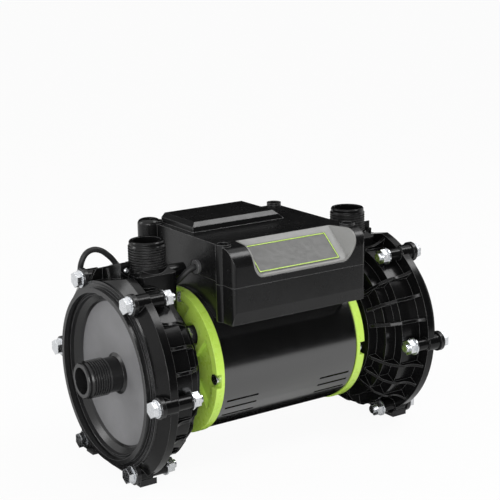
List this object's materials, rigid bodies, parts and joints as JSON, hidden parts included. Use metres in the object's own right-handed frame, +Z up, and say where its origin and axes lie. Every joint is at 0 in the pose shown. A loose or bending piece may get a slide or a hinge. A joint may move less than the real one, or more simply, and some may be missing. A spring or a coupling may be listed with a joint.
{
  "type": "shower pump",
  "caption": "Electric motor between two ribbed pump heads with threaded inlets and upright outlets, with a terminal box on top.",
  "frame": {"origin": "on the floor under the middle of the shaft", "axes": "+X along the shaft towards the right head, +Y from the badge to the back, +Z up"},
  "size_m": [0.282, 0.1554, 0.1688],
  "materials": {
    "can": "satin black painted steel",
    "core_steel": "laminated steel",
    "winding": "enamelled copper wire",
    "shaft_steel": "ground stainless steel",
    "zinc": "bright zinc plated steel",
    "frame_green": "gloss lime green paint",
    "casing_plastic": "semi-gloss black glass-filled plastic",
    "cover_plastic": "satin black moulded plastic",
    "impeller_plastic": "black moulded plastic",
    "box_plastic": "satin black moulded plastic",
    "badge": "satin silver grey plastic",
    "label": "dark grey printed film, left bare",
    "border": "lime green printed line",
    "rubber": "black rubber",
    "ivory": "ivory moulded plastic"
  },
  "bodies": {
    "base": {"motor_can": "can", "stator_core": "core_steel", "windings": "winding", "tie_rods": "zinc", "end_frame_left": "frame_green", "end_frame_right": "frame_green", "bearing_left": "core_steel", "bearing_right": "core_steel", "casing_left": "casing_plastic", "casing_right": "casing_plastic", "inlet_cover_left": "cover_plastic", "inlet_cover_right": "cover_plastic", "cover_seal_left": "rubber", "cover_seal_right": "rubber", "head_bolts_left": "zinc", "head_bolts_right": "zinc", "head_washers_left": "zinc", "head_washers_right": "zinc", "head_nuts_left": "zinc", "head_nuts_right": "zinc", "seal_seat_left": "ivory", "seal_seat_right": "ivory", "posts_left": "rubber", "posts_right": "rubber", "studs_left": "zinc", "studs_right": "zinc", "feet_left": "rubber", "feet_right": "rubber", "box_base": "box_plastic", "box_lid": "box_plastic", "box_gasket": "rubber", "lid_screws": "zinc", "capacitor": "ivory", "terminal_block": "ivory", "badge": "badge", "label": "label", "label_border": "border", "mains_gland": "rubber", "lead_grommet": "rubber", "float_stop": "shaft_steel", "flow_sensor": "box_plastic", "sensor_lead": "rubber"},
    "rotor": {"shaft": "shaft_steel", "rotor_core": "core_steel", "impeller_left": "impeller_plastic", "impeller_right": "impeller_plastic", "impeller_nut_left": "zinc", "impeller_nut_right": "zinc", "seal_head_left": "shaft_steel", "seal_head_right": "shaft_steel"},
    "float": {"flow_float": "ivory"}
  },
  "joints": [
    {"name": "shaft_spin", "type": "hinge", "parent": "base", "child": "rotor", "pos_m": [0, 0, 0.071], "axis": [1, 0, 0], "continuous": true},
    {"name": "float_lift", "type": "slide", "parent": "base", "child": "float", "axis": [0, 0, 1], "range_m": [0, 0.008]}
  ]
}
